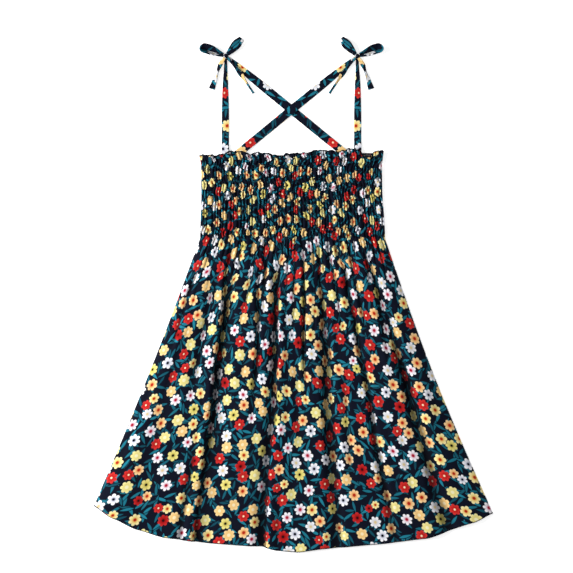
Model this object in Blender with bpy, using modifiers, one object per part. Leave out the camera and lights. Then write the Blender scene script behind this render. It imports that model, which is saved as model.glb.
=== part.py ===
"""Child's shirred sundress with tie straps, laid flat on its back.

Units are metres. +X runs across the dress, +Y from the hem to the neck, and +Z up from the surface
that it lies on. The origin is on that surface, in the middle of the whole dress's box.

Two panels make the body, each one piece of cloth from the ruffle at the neck to the hem. Rows of
elastic gather the top of each into a bodice, and below the last row the cloth opens into the skirt.
The front panel lies on the back panel. Two front straps and two crossed back straps end in a bow at
each shoulder. Inside this file the waist, which is the lowest row of elastic, is at Y = 0.
"""

import math

import bmesh
import bpy
from mathutils import Vector

MM = 0.001

# Cloth and gaps
SKIRT_WALL = 1.5 * MM
BODICE_WALL = 2.4 * MM  # elastic puckers the cloth, so that it takes up more
WALL_CHANGE = 25.0 * MM  # below the waist, one wall becomes the other over this length
STRAP_WALL = 1.4 * MM
GAP = 0.3 * MM  # between pieces that touch
LEAST_LEVEL = 0.6  # the steepest slope that the panels' wall makes up for, as its normal's Z

# Body of the dress
BODICE_HALF_TOP = 113.0 * MM
BODICE_HALF_WAIST = 115.4 * MM
BODICE_LENGTH = 91.0 * MM  # first to last row of elastic
RUFFLE_HEIGHT = 15.0 * MM
HEM_HALF = 249.0 * MM
SIDE_HOLLOW = {-1: 3.2 * MM, 1: 6.0 * MM}  # how far each side edge curves in from a straight line
LEAN = {"waist": 1.3 * MM, "hem": 2.4 * MM}  # how far the body is off the middle line
RUFFLE_FLARE = 2.2 * MM  # at each side
NECK_RISE = 3.0 * MM  # the right end of the neck edge is higher than the left
FLUTES = 15  # waves along the ruffle
FLUTE_HEIGHT = 2.2 * MM
SCALLOP = 1.4 * MM  # how far each wave carries the neck edge up or down
NECK_LIFT = STRAP_WALL + GAP  # room between the panels for the feet of the straps
NECK_LIFT_FROM = 66.0 * MM
NECK_LIFT_TO = 87.0 * MM

# How high the front panel stands off the back panel in the skirt
SKIRT_LOFT = 9.0 * MM
HEM_LOFT = 7.0 * MM
SIDE_ROUNDING = 38.0 * MM  # the loft dies away over this width at the sides
FULL_LOFT_FROM = 0.25  # share of the skirt's length where the loft is full
HEM_LOFT_FROM = 0.6  # and where it starts to settle to the hem's
UPPER_NARROWING = 0.5  # a trough's width at the waist, as a share of its width at the hem
CREST_AWAY = 1.6  # from a trough's middle to its crest, in widths of the steep slope
CREST_HALF = 9.0 * MM

# Hem line: across, and below the waist, both in mm
HEM = (
    {"x": -249, "drop": 334},
    {"x": -225, "drop": 349},
    {"x": -195, "drop": 363},
    {"x": -160, "drop": 373},
    {"x": -105, "drop": 380},
    {"x": -40, "drop": 384},
    {"x": -20, "drop": 389},
    {"x": 6, "drop": 391},
    {"x": 36, "drop": 387},
    {"x": 105, "drop": 381},
    {"x": 165, "drop": 374},
    {"x": 225, "drop": 354},
    {"x": 249, "drop": 343},
)

# Troughs that run down the front of the skirt. waist, middle and hem are the distance across in mm at
# the waist, half way down and at the hem; left and right are how wide each side slopes at the hem;
# depth is the share of the loft that is lost, lip is the height in mm of the crest on the steep side,
# and start and end are shares of the skirt's length.
TROUGH_COLUMNS = ("waist", "middle", "hem", "left", "right", "depth", "lip", "start", "end")
TROUGH_ROWS = (
    (-60, -152, -196, 24, 24, 0.30, 0.0, 0.30, 1.30),
    (-78, -95, -120, 6, 38, 0.92, 2.2, 0.04, 1.30),
    (-37, -47, -66, 8, 8, 0.50, 0.0, 0.06, 0.62),
    (-13, -21, -35, 20, 5, 0.93, 2.6, 0.08, 1.30),
    (15, 17, 22, 7, 5, 0.60, 1.0, 0.00, 0.55),
    (34, 47, 58, 17, 14, 0.80, 0.0, 0.00, 1.30),
    (58, 95, 128, 9, 9, 0.50, 0.0, 0.06, 1.30),
    (90, 143, 195, 14, 16, 0.90, 1.2, 0.00, 1.30),
)
TROUGHS = [dict(zip(TROUGH_COLUMNS, row)) for row in TROUGH_ROWS]

# Tucks in the back of the skirt stand up inside the dress, in mm, under the lofted parts of the front
BACK_TUCKS = (
    {"waist": -74, "hem": -150, "half_width": 9, "height": 2.4, "end": 0.9},
    {"waist": -30, "hem": -82, "half_width": 9, "height": 2.8, "end": 0.7},
    {"waist": 4, "hem": 6, "half_width": 9, "height": 2.4, "end": 0.8},
    {"waist": 26, "hem": 34, "half_width": 8, "height": 2.6, "end": 0.5},
    {"waist": 86, "hem": 160, "half_width": 9, "height": 2.4, "end": 0.85},
)

# Straps, in mm: each bow's knot is at KNOT, and the right bow mirrors the left one
KNOT = {"x": -82.0, "y": 227.0, "z": 3.4}
KNOT_SIZE = Vector((7.0, 6.6, 6.2)) * MM
STRAP_FLAT = 0.9  # mm, the middle of a strap that lies on the surface
LOWEST_STRAP = 0.75  # mm, so that no strap dips under the surface
STRAP_TUCKED = BODICE_WALL / MM + 1.05  # mm, the middle of a strap between the two panels
BACK_FOOT = {"x": 72.0, "y": 101.2}
CROSSING_RISE = 2.0  # mm, how far the upper back strap climbs over the lower one

# Panel grids: faces across, and down each stretch
FRONT_COLUMNS = 80
FRONT_ROWS = {"skirt_rows": 14, "bodice_rows": 4, "ruffle_rows": 2}
BACK_COLUMNS = 36
BACK_ROWS = {"skirt_rows": 9, "bodice_rows": 2, "ruffle_rows": 1}

# Colours: linear red, green, blue
CLOTH_COLOUR = (0.026, 0.052, 0.075, 1.0)
CLOTH_ROUGHNESS = 0.85


def clamp(value, low=0.0, high=1.0):
    return min(high, max(low, value))


def smooth(value):
    """0 below 0, 1 above 1, and an even curve between."""
    value = clamp(value)
    return value * value * (3.0 - 2.0 * value)


def mix(a, b, share):
    return a + (b - a) * share


def bell(distance, left, right):
    """1 at the middle and 0 from one width away, with its own width on each side."""
    width = left if distance < 0 else right
    return 1.0 - smooth(abs(distance) / width)


def curve_through(points, share):
    """A point on the smooth curve through evenly timed points, each a list of numbers."""
    spans = len(points) - 1
    place = clamp(share) * spans
    index = min(int(place), spans - 1)
    t = place - index
    before, start, end, after = (points[int(clamp(index + k, 0, spans))] for k in (-1, 0, 1, 2))
    return [
        b + 0.5 * t * (c - a + t * (2 * a - 5 * b + 4 * c - d + t * (3 * (b - c) + d - a)))
        for a, b, c, d in zip(before, start, end, after)
    ]


def hem_drop(x):
    """How far below the waist the hem is at this distance across."""
    x = clamp(x / MM, HEM[0]["x"], HEM[-1]["x"])
    for left, right in zip(HEM, HEM[1:]):
        if x <= right["x"]:
            return mix(left["drop"], right["drop"], smooth_or_straight(x, left["x"], right["x"])) * MM
    return HEM[-1]["drop"] * MM


def smooth_or_straight(x, low, high):
    """Half way between a straight line and an even curve, so that the hem has no corners."""
    share = (x - low) / (high - low)
    return 0.65 * share + 0.35 * smooth(share)


def bodice_x(across, height):
    """Distance across the bodice, for -1 to 1 from side to side, at a height above the waist."""
    half = mix(BODICE_HALF_WAIST, BODICE_HALF_TOP, smooth(height / (0.7 * BODICE_LENGTH)))
    flare = RUFFLE_FLARE * ruffle_share(height)
    lean = LEAN["waist"] * (1.0 - smooth(height / BODICE_LENGTH))
    return across * (half + flare) + lean


def skirt_half(side, down):
    """From the skirt's middle to a side edge, -1 or 1, at a share of the way down."""
    return mix(BODICE_HALF_WAIST, HEM_HALF, down) - SIDE_HOLLOW[side] * math.sin(math.pi * down)


def skirt_x(across, down):
    """Distance across the skirt, for -1 to 1 from side to side, at a share of the way down."""
    middle = 0.5 * (skirt_half(1, down) - skirt_half(-1, down))
    half = 0.5 * (skirt_half(1, down) + skirt_half(-1, down))
    return middle + across * half + mix(LEAN["waist"], LEAN["hem"], down)


def ruffle_share(height):
    """0 up to the first row of elastic, and 1 at the neck edge."""
    return clamp((height - BODICE_LENGTH) / RUFFLE_HEIGHT)


def ruffle_flute(across):
    """A wave along the neck edge, -1 to 1, uneven in its length."""
    turn = across * FLUTES * math.pi
    return math.sin(turn + 0.9 * math.sin(0.37 * turn + 0.6))


def trough_place(trough, down):
    """Distance across of a trough at a share of the way down the skirt."""
    upper = mix(trough["waist"], trough["middle"], down * 2)
    lower = mix(trough["middle"], trough["hem"], down * 2 - 1)
    return mix(upper, lower, smooth((down - 0.3) / 0.4)) * MM


def trough_share(trough, down):
    """How much of a trough there is at this height: it fades in at its start and out at its end."""
    fade_in = smooth((down - trough["start"] + 0.06) / 0.14)
    fade_out = smooth((trough["end"] - down) / 0.25)
    return fade_in * fade_out


def skirt_loft(x, down):
    """How far the front of the skirt stands off the back."""
    from_side = min(x - skirt_x(-1, down), skirt_x(1, down) - x)
    rounding = math.sin(0.5 * math.pi * clamp(from_side / SIDE_ROUNDING))
    settling = smooth((down - HEM_LOFT_FROM) / (1.0 - HEM_LOFT_FROM))
    loft = mix(SKIRT_LOFT, HEM_LOFT, settling) * smooth((down + 0.05) / (FULL_LOFT_FROM + 0.05))
    growth = mix(UPPER_NARROWING, 1.0, down)
    lost = 0.0
    crest = 0.0
    for trough in TROUGHS:
        share = trough_share(trough, down)
        from_middle = x - trough_place(trough, down)
        left, right = trough["left"] * growth * MM, trough["right"] * growth * MM
        lost = max(lost, share * trough["depth"] * bell(from_middle, left, right))
        steep_left = trough["left"] < trough["right"]
        beside = from_middle + CREST_AWAY * left if steep_left else from_middle - CREST_AWAY * right
        crest += share * trough["lip"] * MM * bell(beside, CREST_HALF, CREST_HALF)
    return rounding * (loft * (1.0 - lost) + crest)


def back_tucks(x, down):
    """How far the tucks of the back skirt stand up from the surface."""
    rise = 0.0
    for tuck in BACK_TUCKS:
        middle = mix(tuck["waist"], tuck["hem"], down) * MM
        share = smooth(down / 0.12) * smooth((tuck["end"] - down) / 0.35)
        width = tuck["half_width"] * MM
        rise = max(rise, share * tuck["height"] * MM * bell(x - middle, width, width))
    return rise


def front_place(across, along):
    """The underside of the front panel. across is -1 to 1; along is 0 to 1 down the skirt, 0 to -1 up."""
    if along >= 0:
        x = skirt_x(across, along)
        y = -along * hem_drop(across * HEM_HALF)
        stand = max(skirt_loft(x, along), back_tucks(x, along))
        floor = mix(BODICE_WALL, SKIRT_WALL, smooth(along / 0.08)) + GAP
        return Vector((x, y, floor + stand))
    height = -along * (BODICE_LENGTH + RUFFLE_HEIGHT)
    scallop = SCALLOP * ruffle_flute(across + 0.03) + NECK_RISE * smooth(across + 0.3)
    lift = NECK_LIFT * smooth((height - NECK_LIFT_FROM) / (NECK_LIFT_TO - NECK_LIFT_FROM))
    flute = FLUTE_HEIGHT * 0.5 * (1.0 + ruffle_flute(across))
    ruffle = ruffle_share(height)
    x, y = bodice_x(across, height), height + ruffle * scallop
    return Vector((x, y, BODICE_WALL + GAP + lift + ruffle * flute))


def back_place(across, along):
    """The underside of the back panel, flat on the surface but for its tucks."""
    if along >= 0:
        x = skirt_x(across, along)
        return Vector((x, -along * hem_drop(across * HEM_HALF), back_tucks(x, along)))
    height = -along * (BODICE_LENGTH + RUFFLE_HEIGHT)
    y = height + ruffle_share(height) * NECK_RISE * smooth(across + 0.3)
    return Vector((bodice_x(across, height), y, 0.0))


def panel_rows(skirt_rows, bodice_rows, ruffle_rows):
    """Places along a panel, from the hem (1) past the waist (0) to the neck edge (-1)."""
    first_row = BODICE_LENGTH / (BODICE_LENGTH + RUFFLE_HEIGHT)
    skirt = [1.0 - (i / skirt_rows) for i in range(skirt_rows)]
    bodice = [-first_row * i / bodice_rows for i in range(bodice_rows)]
    ruffle = [mix(-first_row, -1.0, i / ruffle_rows) for i in range(ruffle_rows + 1)]
    return skirt + bodice + ruffle


def cloth_material():
    material = bpy.data.materials.new("floral_cotton")
    material.use_nodes = True
    shader = material.node_tree.nodes["Principled BSDF"]
    shader.inputs["Base Color"].default_value = CLOTH_COLOUR
    shader.inputs["Roughness"].default_value = CLOTH_ROUGHNESS
    shader.inputs["Metallic"].default_value = 0.0
    return material


def grid_object(name, columns, rows, place, collection, material):
    """A grid whose vertices are put where place(column, row) says."""
    mesh = bmesh.new()
    bmesh.ops.create_grid(mesh, x_segments=columns, y_segments=rows, size=0.5)
    for vertex in mesh.verts:
        column = round((vertex.co.x + 0.5) * columns)
        row = round((vertex.co.y + 0.5) * rows)
        vertex.co = place(column, row)
    data = bpy.data.meshes.new(name)
    mesh.to_mesh(data)
    mesh.free()
    data.materials.append(material)
    made = bpy.data.objects.new(name, data)
    collection.objects.link(made)
    return made


def thicken_upwards(made, wall_at):
    """Extrudes a sheet straight up, further where it slopes, so that the wall keeps its thickness."""
    mesh = bmesh.new()
    mesh.from_mesh(made.data)
    mesh.normal_update()
    level = {tuple(vertex.co): max(abs(vertex.normal.z), LEAST_LEVEL) for vertex in mesh.verts}
    bmesh.ops.reverse_faces(mesh, faces=mesh.faces)
    result = bmesh.ops.extrude_face_region(mesh, geom=mesh.faces[:])
    for item in result["geom"]:
        if isinstance(item, bmesh.types.BMVert):
            item.co.z += wall_at(item.co) / level[tuple(item.co)]
    bmesh.ops.recalc_face_normals(mesh, faces=mesh.faces)
    mesh.to_mesh(made.data)
    mesh.free()


def wall_at(point):
    """The panels' wall: thicker where elastic gathers the cloth."""
    return mix(SKIRT_WALL, BODICE_WALL, smooth((point.y + WALL_CHANGE) / WALL_CHANGE))


def panel(name, columns, rows, place, collection, material):
    def at(column, row):
        return place(2.0 * column / columns - 1.0, rows[row])

    made = grid_object(name, columns, len(rows) - 1, at, collection, material)
    thicken_upwards(made, wall_at)
    return made


def ribbon(name, stations, collection, material, steps=3):
    """A flat strap through stations: its middle, width, heading of its width, and tilt from flat."""
    samples = (len(stations) - 1) * steps
    columns = ("x", "y", "z", "width", "heading", "tilt")
    points = [[station[c] for c in columns] for station in stations]

    def at(column, row):
        x, y, z, width, heading, tilt = curve_through(points, column / samples)
        heading, tilt = math.radians(heading), math.radians(tilt)
        level = math.cos(tilt)
        side = Vector((math.cos(heading) * level, math.sin(heading) * level, math.sin(tilt)))
        middle = Vector((x, y, max(z, LOWEST_STRAP)))
        return (middle + side * width * (row / 2 - 0.5)) * MM

    made = grid_object(name, samples, 2, at, collection, material)
    wall = made.modifiers.new("wall", "SOLIDIFY")
    wall.thickness = STRAP_WALL
    wall.offset = 0.0
    return made


def station(x, y, z, width, heading=0.0, tilt=0.0):
    return {"x": x, "y": y, "z": z, "width": width, "heading": heading, "tilt": tilt}


def mirrored(stations, side):
    """The same stations for the left bow (side -1) or the right one (side 1)."""
    return [
        {**s, "x": -side * s["x"], "heading": s["heading"] if side < 0 else 180.0 - s["heading"]}
        for s in stations
    ]


def from_knot(stations):
    return [{**s, "x": s["x"] + KNOT["x"], "y": s["y"] + KNOT["y"]} for s in stations]


def front_strap():
    """Runs straight up from between the panels, and narrows into the knot."""
    x, top = KNOT["x"], KNOT["y"]
    return [
        station(x - 0.6, 92.5, STRAP_TUCKED, 9.6),
        station(x - 0.6, 101, STRAP_TUCKED, 9.6),
        station(x - 0.6, 109.5, STRAP_TUCKED, 9.4),
        station(x - 0.6, 126, STRAP_FLAT, 9.2),
        station(x - 0.6, 158, STRAP_FLAT, 9.0),
        station(x - 0.6, 190, STRAP_FLAT, 7.2),
        station(x - 0.3, top - 16, STRAP_FLAT + 0.2, 4.6),
        station(x, top - 4.6, 1.6, 3.4),
    ]


def back_strap(over):
    """Runs from the far side of the back to the knot, over or under the other back strap."""
    foot = Vector((BACK_FOOT["x"], BACK_FOOT["y"]))
    knot = Vector((KNOT["x"], KNOT["y"]))
    run = knot - foot
    heading = math.degrees(math.atan2(run.y, run.x)) - 90.0
    middle = foot.x / (foot.x - knot.x)
    rise = CROSSING_RISE if over else 0.0
    plan = (
        {"share": 0.0, "z": STRAP_TUCKED, "width": 9.8},
        {"share": 0.045, "z": STRAP_TUCKED, "width": 9.8},
        {"share": 0.10, "z": STRAP_TUCKED, "width": 10.0},
        {"share": 0.20, "z": STRAP_FLAT, "width": 10.4},
        {"share": middle - 0.12, "z": STRAP_FLAT, "width": 10.6},
        {"share": middle - 0.045, "z": STRAP_FLAT + rise, "width": 10.6},
        {"share": middle + 0.045, "z": STRAP_FLAT + rise, "width": 10.6},
        {"share": middle + 0.12, "z": STRAP_FLAT, "width": 10.6},
        {"share": 0.72, "z": STRAP_FLAT, "width": 10.4},
        {"share": 0.84, "z": STRAP_FLAT, "width": 8.6},
        {"share": 0.93, "z": STRAP_FLAT, "width": 6.6},
        {"share": 0.972, "z": STRAP_FLAT + 0.3, "width": 4.6},
    )
    places = [(foot + run * p["share"], p) for p in plan]
    return [station(at.x, at.y, p["z"], p["width"], heading) for at, p in places]


def outer_loop():
    """A teardrop that stands nearly on its edge, leaning outwards."""
    return [
        station(-4.7, 2.6, 3.4, 4.2, 118, 62),
        station(-11.5, 6.6, 4.4, 8.0, 118, 58),
        station(-19, 10.6, 5.2, 9.8, 115, 56),
        station(-26.5, 13.4, 5.4, 10.2, 130, 60),
        station(-31.2, 10.4, 5.5, 10.2, 190, 68),
        station(-27.0, 5.6, 5.4, 10.0, 265, 76),
        station(-16.5, 1.6, 4.6, 8.2, 275, 78),
        station(-5.0, -0.9, 3.4, 4.2, 275, 72),
    ]


def inner_loop():
    """Folded flat: out along the surface and back on top of itself."""
    return [
        station(3.6, 3.8, 1.6, 4.4, 134),
        station(8.5, 9.2, 1.0, 8.0, 134),
        station(14, 15.2, 1.0, 10.0, 134),
        station(18.4, 19.8, 1.5, 9.2, 136, 4),
        station(19.8, 21.4, 3.5, 8.8, 138, 8),
        station(18, 19.4, 5.5, 9.4, 138, 10),
        station(13.6, 14.8, 6.2, 10.0, 136, 10),
        station(8.5, 9.2, 5.8, 8.0, 134, 6),
        station(4.0, 4.2, 4.9, 4.4, 134),
    ]


def outer_tail():
    """Hangs down and outwards, with a twist half way."""
    return [
        station(-3.6, -4.6, 4.0, 3.6, -40),
        station(-7.4, -12, 3.6, 5.6, -24, 10),
        station(-11, -22, 2.8, 4.6, -18, 35),
        station(-14, -32, 2.0, 5.4, -20, 15),
        station(-18, -42, STRAP_FLAT, 8.4, -30),
    ]


def inner_tail():
    """Lies across the back strap, and turns on its edge at the end."""
    return [
        station(3.4, -5.0, 4.4, 3.2, 40),
        station(10, -13, 3.8, 5.6, 40),
        station(17, -22.5, 3.6, 5.6, 36, 12),
        station(25, -34, 3.0, 3.8, 30, 45),
        station(33, -46, 2.2, 3.6, 30, 50),
    ]


def knot(name, side, collection, material):
    mesh = bmesh.new()
    bmesh.ops.create_uvsphere(mesh, u_segments=12, v_segments=8, radius=0.5)
    bmesh.ops.scale(mesh, vec=KNOT_SIZE, verts=mesh.verts)
    data = bpy.data.meshes.new(name)
    mesh.to_mesh(data)
    mesh.free()
    data.materials.append(material)
    made = bpy.data.objects.new(name, data)
    made.location = Vector((-side * KNOT["x"], KNOT["y"], KNOT["z"])) * MM
    collection.objects.link(made)
    return made


def build_body(collection, material):
    front_rows = panel_rows(**FRONT_ROWS)
    back_rows = panel_rows(**BACK_ROWS)
    return [
        panel("front_panel", FRONT_COLUMNS, front_rows, front_place, collection, material),
        panel("back_panel", BACK_COLUMNS, back_rows, back_place, collection, material),
    ]


def build_side(label, side, collection, material):
    """The straps and the bow of one shoulder. side is -1 on the left and 1 on the right."""
    pieces = {
        "front_strap": front_strap(),
        "back_strap": back_strap(over=side > 0),
        "bow_outer_loop": from_knot(outer_loop()),
        "bow_inner_loop": from_knot(inner_loop()),
        "bow_outer_tail": from_knot(outer_tail()),
        "bow_inner_tail": from_knot(inner_tail()),
    }
    made = [
        ribbon(f"{name}_{label}", mirrored(stations, side), collection, material)
        for name, stations in pieces.items()
    ]
    made.append(knot(f"bow_knot_{label}", side, collection, material))
    return made


def centre_on_origin(made):
    """Hangs every piece on one empty, moved so that the whole box stands on the origin."""
    bpy.context.view_layer.update()
    graph = bpy.context.evaluated_depsgraph_get()
    corners = [
        piece.matrix_world @ Vector(corner)
        for piece in made
        for corner in piece.evaluated_get(graph).bound_box
    ]
    holder = bpy.data.objects.new("dress_origin", None)
    bpy.context.scene.collection.objects.link(holder)
    for piece in made:
        piece.parent = holder
    for axis in (0, 1):
        low, high = min(c[axis] for c in corners), max(c[axis] for c in corners)
        holder.location[axis] = -0.5 * (low + high)


def main():
    for old in list(bpy.data.objects):
        bpy.data.objects.remove(old)
    collection = bpy.data.collections.new("sundress")
    bpy.context.scene.collection.children.link(collection)
    material = cloth_material()
    made = build_body(collection, material)
    for label, side in (("left", -1), ("right", 1)):
        made += build_side(label, side, collection, material)
    centre_on_origin(made)


main()
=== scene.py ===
"""The looks of a child's shirred sundress with tie straps, laid flat on a pale floor.

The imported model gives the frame. Each CAD piece of cloth is replaced by a thin shell on the same form:
the front and back panels with their rows of elastic, gathers and folds, then the straps and the bows.
Inside this file the waist, which is the lowest row of elastic, is at Y = 0, and everything is in metres.
"""

import math

import bmesh
import bpy
import numpy as np
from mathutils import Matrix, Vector


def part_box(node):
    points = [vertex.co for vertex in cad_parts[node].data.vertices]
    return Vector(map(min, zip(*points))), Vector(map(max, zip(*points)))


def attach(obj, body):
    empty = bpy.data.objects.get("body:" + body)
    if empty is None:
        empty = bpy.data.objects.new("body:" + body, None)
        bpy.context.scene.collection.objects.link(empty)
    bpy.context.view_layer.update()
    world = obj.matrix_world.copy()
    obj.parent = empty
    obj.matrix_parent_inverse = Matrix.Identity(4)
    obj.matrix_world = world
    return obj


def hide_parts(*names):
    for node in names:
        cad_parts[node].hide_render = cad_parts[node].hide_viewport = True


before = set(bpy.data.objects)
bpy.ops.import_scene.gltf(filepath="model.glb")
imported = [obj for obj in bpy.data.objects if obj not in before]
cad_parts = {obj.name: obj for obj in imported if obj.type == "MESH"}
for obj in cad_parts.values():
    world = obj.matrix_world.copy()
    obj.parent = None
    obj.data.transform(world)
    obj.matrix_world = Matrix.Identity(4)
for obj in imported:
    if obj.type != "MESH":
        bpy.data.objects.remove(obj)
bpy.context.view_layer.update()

MM = 0.001


def table(columns, *rows):
    """Rows of a table as dicts, by their columns' names."""
    return [dict(zip(columns, row)) for row in rows]


# The design's own sizes
HEM_HALF = 249.0 * MM
BODICE_HALF_TOP = 113.0 * MM
BODICE_HALF_WAIST = 115.4 * MM
BODICE_LENGTH = 91.0 * MM
RUFFLE_HEIGHT = 15.0 * MM
RUFFLE_FLARE = 2.2 * MM
SIDE_HOLLOW = {-1: 3.2 * MM, 1: 6.0 * MM}
LEAN = {"waist": 1.3 * MM, "hem": 2.4 * MM}
NECK_RISE = 3.0 * MM
FLUTES = 15
FLUTE_HEIGHT = 2.2 * MM
SKIRT_WALL = 1.5 * MM
BODICE_WALL = 2.4 * MM
GAP = 0.3 * MM
NECK_LIFT = 1.7 * MM
NECK_LIFT_FROM = 66.0 * MM
SKIRT_LOFT = 9.0 * MM
HEM_LOFT = 7.0 * MM
SIDE_ROUNDING = {-1: 22.0 * MM, 1: 34.0 * MM}
HEM = (  # across, and below the waist, in mm
    (-249, 334), (-225, 349), (-195, 363), (-160, 373), (-105, 380), (-40, 384), (-20, 389),
    (6, 391), (36, 387), (105, 381), (165, 374), (225, 354), (249, 343),
)
LONGEST_DROP = 391.0 * MM

NECK_EDGE = (  # across, and above the waist, in mm
    (-115, 102.5), (-99, 102.8), (-95.5, 99.4), (-92, 103), (-84, 103.5), (-79, 107.2), (-60, 106.8),
    (-51, 102.8), (-46, 106), (-34, 105), (-11, 100.8), (-7, 104.4), (18, 105.2), (32, 108.8), (52, 108),
    (58, 106), (66, 108.4), (71, 110.6), (84, 109.2), (91, 100.4), (97, 100.2), (103, 107), (115, 108.6),
)

NECK_TREMBLE = 0.9 * MM  # smaller waves along it
FIRST_ROW = BODICE_LENGTH / (BODICE_LENGTH + RUFFLE_HEIGHT)  # the top row of elastic, along the bodice

# Where the waist's middle is in the frame, from the front panel's box
FRONT_LOW = Vector(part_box("front_panel")[0])
WAIST = Vector((FRONT_LOW.x + HEM_HALF - LEAN["hem"], FRONT_LOW.y + LONGEST_DROP, 0.0))

# The largest folds, as in the design. waist, middle and hem are distances across in mm, left and right
# the widths of the two slopes, depth the share of the loft that is lost and lip the crest beside it.
TROUGHS = table(
    ("waist", "middle", "hem", "left", "right", "depth", "lip", "start", "end"),
    (-60, -152, -196, 24, 24, 0.30, 0.0, 0.30, 1.30),
    (-78, -95, -120, 6, 38, 0.92, 2.2, 0.04, 1.30),
    (-37, -47, -66, 8, 8, 0.50, 0.0, 0.06, 0.62),
    (-13, -21, -35, 20, 5, 0.93, 2.6, 0.08, 1.30),
    (15, 17, 22, 7, 5, 0.60, 1.0, 0.00, 0.55),
    (34, 47, 58, 17, 14, 0.80, 0.0, 0.00, 1.30),
    (58, 95, 128, 9, 9, 0.50, 0.0, 0.06, 1.30),
    (90, 143, 195, 14, 16, 0.90, 1.2, 0.00, 1.30),
)
BACK_TUCKS = table(
    ("waist", "hem", "half_width", "height", "end"),
    (-74, -150, 9, 2.4, 0.9),
    (-30, -82, 9, 2.8, 0.7),
    (4, 6, 9, 2.4, 0.8),
    (26, 34, 8, 2.6, 0.5),
    (86, 160, 9, 2.4, 0.85),
)

# Smaller creases, placed one by one. top and foot are distances across in mm where a crease starts and
# ends, start and end its shares of the skirt's length, and rise its height in mm, below 0 for a trough.
CREASES = table(
    ("top", "foot", "start", "end", "width", "rise"),
    (44, 68, 0.0, 0.34, 6, -2.0),
    (38, 46, 0.28, 0.8, 9, -2.0),
    (64, 75, 0.44, 0.82, 8, -1.8),
    (99, 124, 0.06, 0.46, 6, -2.4),
    (156, 178, 0.42, 0.68, 9, 1.6),
    (-30, -40, 0.02, 0.36, 6, -2.2),
    (-90, -130, 0.06, 0.58, 9, -3.2),
    (-106, -157, 0.0, 0.46, 5, -3.0),
    (-168, -222, 0.48, 0.86, 7, -2.2),
    (-118, -148, 0.66, 1.1, 8, -2.2),
    (-16, -8, 0.5, 0.95, 12, 1.4),
    (4, 8, 0.35, 0.7, 9, -1.4),
    (70, 94, 0.0, 0.33, 5, -2.6),
    (110, 146, 0.4, 0.9, 10, 1.2),
)

# Gathers below the last row of elastic: side by side, each with a reach of its own. The lower sharp is,
# the narrower the valleys between them.
GATHERS = table(
    ("count", "height", "sharp", "fade_in", "reach", "seed"),
    (46, 2.8, 1.0, 0.0, (0.05, 0.16), 3),
    (27, 4.6, 0.5, 0.03, (0.12, 0.5), 8),
    (13, 3.0, 0.8, 0.16, (0.4, 1.1), 21),
)

# Shirring
ELASTIC_BANDS = 9
PUCKERS = 56
PUCKER_HEIGHT = 3.9 * MM
ROW_DIP = 1.5 * MM
BACK_VALLEY = 1.6 * MM

# The cut cloth
FRONT_CUT = {"top": 456.0 * MM, "hem": 535.0 * MM}
BACK_CUT = {"top": 405.0 * MM, "hem": 498.0 * MM}
BODICE_TAKE_UP = 1.22  # cut length for each finished length
CLOTH_LENGTH = LONGEST_DROP + (BODICE_LENGTH + RUFFLE_HEIGHT) * BODICE_TAKE_UP
CLOTH = 0.8 * MM  # the thickness that a panel's shell shows
SIDE_FOLD = 4.0 * MM
BACK_INSET = 2.2 * MM
BACK_HEM_INSET = 1.2 * MM
BACK_PRINT_SHIFT = (0.9, 0.21)  # metres of cloth between the two panels' prints
FRONT_COLUMNS, BACK_COLUMNS = 357, 221  # points across each panel
LINE_POINTS = 900  # points along a line of stitches
HEM_FOLD = 2.2 * MM

STRAP_WALL = 1.4 * MM
STRAP_FLAT = 0.9
STRAP_TUCKED = BODICE_WALL / MM + 0.3 + 0.75
BACK_FOOT = {"x": 72.0, "y": 101.2}
CROSSING_RISE = 2.0
RIBBON_SIDES = 28
RIBBON_STEPS = 14  # rings between two stations
FACE_SHIFT = 0.03  # metres of cloth between the print of its two faces
CAMERA_HEIGHT = 2.6
VIEW_WIDTH = 0.716
VIEW_CENTRE = (WAIST.x - 0.0063, WAIST.y - 0.0606)
FLOOR_SIZE = 30.0
FLOOR_DROP = 0.2 * MM
FLOOR_GLOW = 0.62  # a lit table, as for product photographs, so that shadows on it are faint
WORLD_LIGHT = 0.26
LAMPS = (
    ("key", (-2.0, 0.35, 1.55), 1.1, 88.0),
    ("fill", (0.5, -0.3, 2.5), 1.2, 9.0),
)


def clamp(t):
    return np.clip(t, 0.0, 1.0)


def smooth(t):
    t = clamp(t)
    return t * t * (3.0 - 2.0 * t)


def mix(a, b, share):
    return a + (b - a) * share


def bell(distance, left, right):
    """1 at the middle and 0 from one width away, with its own width on each side."""
    return 1.0 - smooth(np.abs(distance) / np.where(distance < 0, left, right))


def wander(t, seed):
    """A smooth uneven wave between about -1 and 1, with about one turn for each unit of t."""
    phases = np.random.default_rng(seed).uniform(0, 2 * math.pi, 4)
    waves = zip((0.61, 1.0, 1.73, 2.9), (0.45, 0.35, 0.25, 0.15), phases)
    return sum(size * np.sin(2 * math.pi * pace * t + phase) for pace, size, phase in waves)


# ---- the panels' outline

def skirt_half(side, down):
    return mix(BODICE_HALF_WAIST, HEM_HALF, down) - SIDE_HOLLOW[side] * np.sin(math.pi * down)


def skirt_x(across, down):
    middle = 0.5 * (skirt_half(1, down) - skirt_half(-1, down))
    half = 0.5 * (skirt_half(1, down) + skirt_half(-1, down))
    return middle + across * half + mix(LEAN["waist"], LEAN["hem"], down)


def ruffle_share(height):
    return clamp((height - BODICE_LENGTH) / RUFFLE_HEIGHT)


def bodice_x(across, height):
    half = mix(BODICE_HALF_WAIST, BODICE_HALF_TOP, smooth(height / (0.7 * BODICE_LENGTH)))
    lean = LEAN["waist"] * (1.0 - smooth(height / BODICE_LENGTH))
    return across * (half + RUFFLE_FLARE * ruffle_share(height)) + lean


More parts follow.
